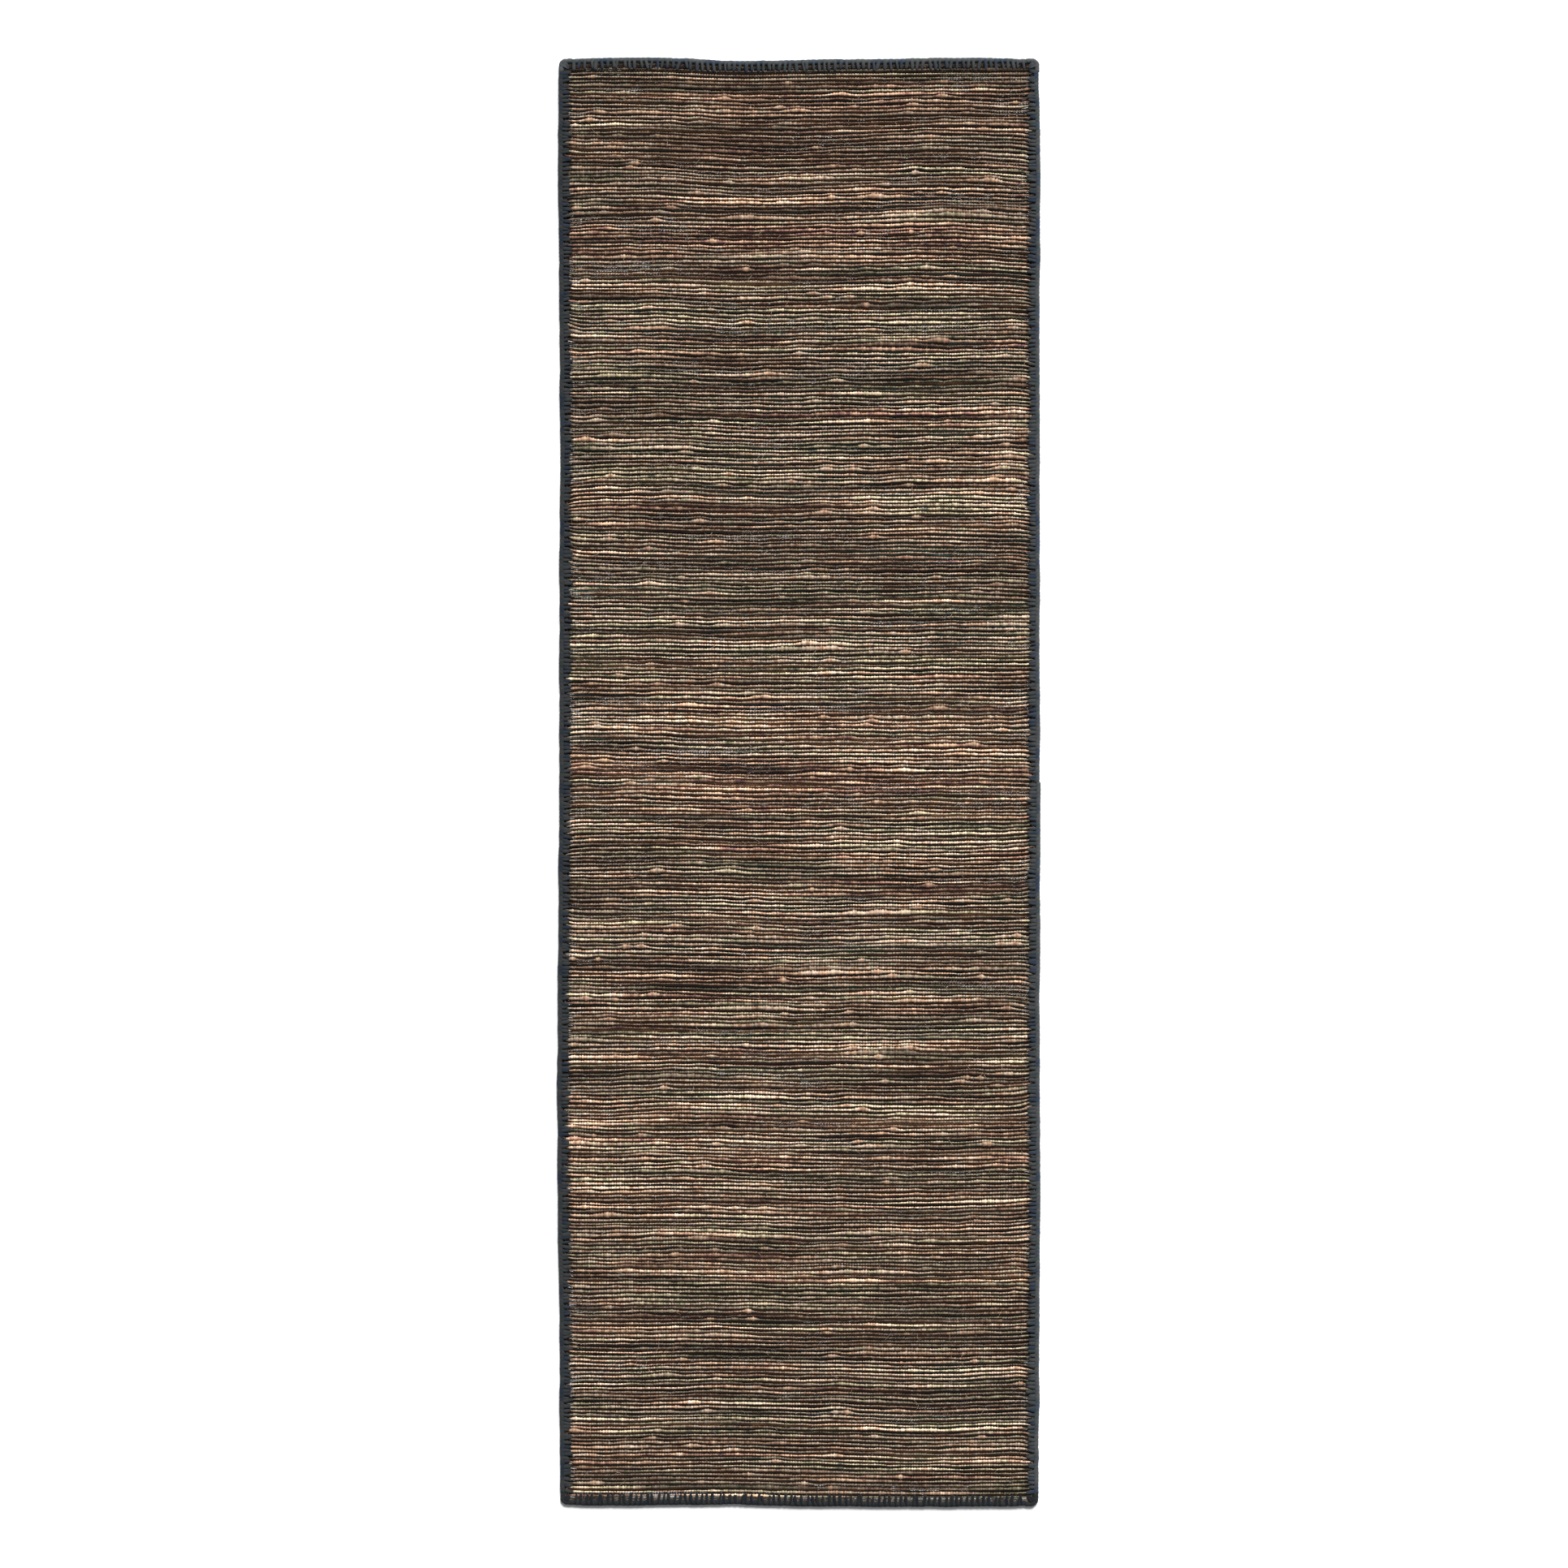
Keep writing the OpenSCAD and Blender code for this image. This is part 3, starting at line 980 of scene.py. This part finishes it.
SIDE_PITCH = 5.0 * MM
END_PITCH = 7.0 * MM
faces = 0
for side in ("left", "right"):
    for number, node in enumerate(nodes_named(f"edge_stitches_{side}_"), start=1):
        low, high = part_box(node)
        seed = 100 + number + (50 if side == "right" else 0)
        faces += stitch_piece(f"stitches_{side}_{number}", side, low[1], high[1],
                              SIDE_PITCH, SIDE_LEGS, seed, node)
for number, side in enumerate(("top", "bottom")):
    node = f"edge_stitches_{side}"
    low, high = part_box(node)
    faces += stitch_piece(f"stitches_{side}", side, low[0], high[0],
                          END_PITCH, END_LEGS, 200 + number, node)
print(f"stitched edge: {faces} faces")

# %% [markdown]
# ## The corners
#
# At a corner the yarn goes through one hole several times, and its loops fan out round the
# corner. The ridge bends round it in a small curve.

# %% Corners
CORNER_ROUND = 4.5 * MM
CORNER_HOLE = 13.5 * MM  # from each edge to the hole that the yarn goes through
CORNER_LEG = 1.5 * MM


def corner_piece(name, node, x_side, y_side, tones, seed):
    source = np.random.default_rng(seed)
    low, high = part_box(node)
    size = high[0] - low[0]
    corner = np.array([x_side * RUG_WIDTH / 2, y_side * RUG_LENGTH / 2])
    sides = np.array([x_side, y_side])
    bend = np.linspace(0, np.pi / 2, 9)
    round_middle = RIDGE_MIDDLE + CORNER_ROUND
    arc = round_middle - CORNER_ROUND * np.stack([np.cos(bend), np.sin(bend)], 1)
    straight = np.linspace(size, round_middle, 6)[:-1]
    first = np.stack([np.full(5, RIDGE_MIDDLE), straight], 1)
    inset = np.concatenate([first, arc, first[::-1, ::-1]])
    facing = np.concatenate([
        np.tile([1.0, 0.0], (5, 1)),
        np.stack([np.cos(bend), np.sin(bend)], 1),
        np.tile([0.0, 1.0], (5, 1)),
    ])
    level = corner - sides * inset
    ridge, ridge_size = strands(level, -sides * facing, 2 * SIDE_PITCH, source)
    fan = np.radians([-2, 22, 45, 68, 92])
    depth = np.linspace(0, 1, len(LEG_SHAPE))[None]
    start = corner - sides * (round_middle - np.stack([np.cos(fan), np.sin(fan)], 1) * CORNER_ROUND)
    hole = corner - sides * CORNER_HOLE + source.normal(size=2) * 0.5 * MM
    level_legs = start[:, None] * (1 - depth[..., None]) + hole * depth[..., None]
    heights = np.tile(SIDE_LEGS["heights"], (len(fan), 1))
    over = np.concatenate([level_legs, heights[..., None]], -1)
    under = over.copy()
    under[..., 2] = np.maximum(2 * EDGE_MIDDLE - over[..., 2], UNDER_HEIGHT)
    leg = np.concatenate([over, under])
    leg_size = CORNER_LEG * np.tile(LEG_SHAPE, (len(leg), 1))
    edge_pieces(name, ridge, ridge_size, leg, leg_size, tones, seed, node)


for x_side, x_name in ((-1, "left"), (1, "right")):
    for y_side, y_name in ((-1, "bottom"), (1, "top")):
        node = f"corner_wrap_{y_name}_{x_name}"
        tones = EDGE_TONES[y_name]
        seed = 300 + 2 * x_side + y_side
        corner_piece(f"corner_{y_name}_{x_name}", node, x_side, y_side, tones, seed)

# %% [markdown]
# ## Stray fibres
#
# Hand-spun yarn sheds whiskers: single pale fibres that stand out of a row, bend, and lie
# across the next ones. They are tiny, but they catch the light and break up the rows.

# %% Stray fibres
WHISKERS = 800
WHISKER_RINGS = 6
WHISKER_RADIUS = 0.13 * MM
WHISKER_LIFT = 1.75 * MM
WHISKER_MARGIN = 12 * MM  # from the sides, so that none hangs over the stitching


def whiskers():
    source = np.random.default_rng(401)
    row = source.integers(2, ROWS - 2, WHISKERS)
    column = source.integers(8, CROSSINGS - 8, WHISKERS)
    start = np.stack([warp_x[column], tan_rows_y[row, column]], -1)
    heading = source.uniform(0, 2 * np.pi, WHISKERS)
    length = source.gamma(3.0, 2.2 * MM, WHISKERS).clip(3 * MM, 16 * MM)
    bend = source.normal(0, 0.9, WHISKERS)
    share = np.linspace(0, 1, WHISKER_RINGS)
    facing = heading[:, None] + bend[:, None] * share
    step = length[:, None] / (WHISKER_RINGS - 1)
    moves = np.stack([np.cos(facing), np.sin(facing)], -1) * step[..., None]
    level = start[:, None] + np.cumsum(moves, axis=1)
    level[..., 0] = level[..., 0].clip(LEFT_X + WHISKER_MARGIN, RIGHT_X - WHISKER_MARGIN)
    lift = WHISKER_LIFT + source.uniform(0.1, 1.1, (WHISKERS, 1)) * MM * np.sin(np.pi * share)
    height = cloth_height(level[..., 0], level[..., 1]) + lift
    path = np.concatenate([level, height[..., None]], -1)
    size = np.tile(WHISKER_RADIUS * np.sqrt(1.05 - share), (WHISKERS, 1))
    values = {
        "along": np.tile(source.uniform(0, 300, (WHISKERS, 1)), (1, WHISKER_RINGS)),
        "tone": np.full((WHISKERS, WHISKER_RINGS), 0.6),
        "hue": np.tile(source.uniform(0.35, 0.7, (WHISKERS, 1)), (1, WHISKER_RINGS)),
        # Full painted light on every stray fibre, with no painted shade.
        "painted_light": np.full((WHISKERS, WHISKER_RINGS), 1.0),
    }
    return tubes("stray_fibres", path, sideways_of(path), size, size, THREE_SIDES,
                 40 * (WHISKER_RINGS - 1), values)


finish_piece(whiskers(), TAN, "tan_weft")

# %% [markdown]
# ## What is cloth
#
# The woven field is one cloth that lies flat. Each length of tan weft, with the dark one
# that is woven in beside it, is a strip of it. The loop below only reads each strip's box.

# %% Strips of cloth
for node, tan, dark in zip(tan_nodes, tan_yarns, dark_yarns):
    low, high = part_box(node)
print(f"{len(tan_yarns)} strips of cloth")

# %% [markdown]
# ## Floor and light
#
# The rug lies on a plain pale floor. A soft lamp far beyond its top end, a little to the
# right, lights all of it alike and gives every row its round shape. A weak pale sky fills the
# shadows.

# %% Floor and light
FLOOR_REACH = 20.0


def pale_floor():
    size = FLOOR_REACH
    mesh = bpy.data.meshes.new("floor")
    corners = [(-size, -size, 0), (size, -size, 0), (size, size, 0), (-size, size, 0)]
    mesh.from_pydata([(x, y, z - 0.1 * MM) for x, y, z in corners], [], [(0, 1, 2, 3)])
    material = bpy.data.materials.new("pale floor")
    material.use_nodes = True
    shader = material.node_tree.nodes["Principled BSDF"]
    shader.inputs["Base Color"].default_value = (0.9, 0.9, 0.9, 1)
    shader.inputs["Roughness"].default_value = 0.9
    mesh.materials.append(material)
    floor = bpy.data.objects.new("floor", mesh)
    bpy.context.collection.objects.link(floor)


def soft_lamp(name, towards, softness, strength):
    """A lamp so far away that the whole rug is lit alike. towards points to it."""
    lamp = bpy.data.lights.new(name, "SUN")
    lamp.angle = softness
    lamp.energy = strength
    held = bpy.data.objects.new(name, lamp)
    held.rotation_euler = Vector(towards).to_track_quat("Z", "Y").to_euler()
    bpy.context.collection.objects.link(held)


pale_floor()
soft_lamp("key lamp", (0.16, 0.66, 0.74), 0.45, 6.0)
world = bpy.data.worlds.new("studio")
world.use_nodes = True
background = world.node_tree.nodes["Background"]
background.inputs["Color"].default_value = (0.97, 0.98, 1.0, 1)
background.inputs["Strength"].default_value = 0.25
bpy.context.scene.world = world
bpy.context.scene.view_settings.view_transform = "Standard"
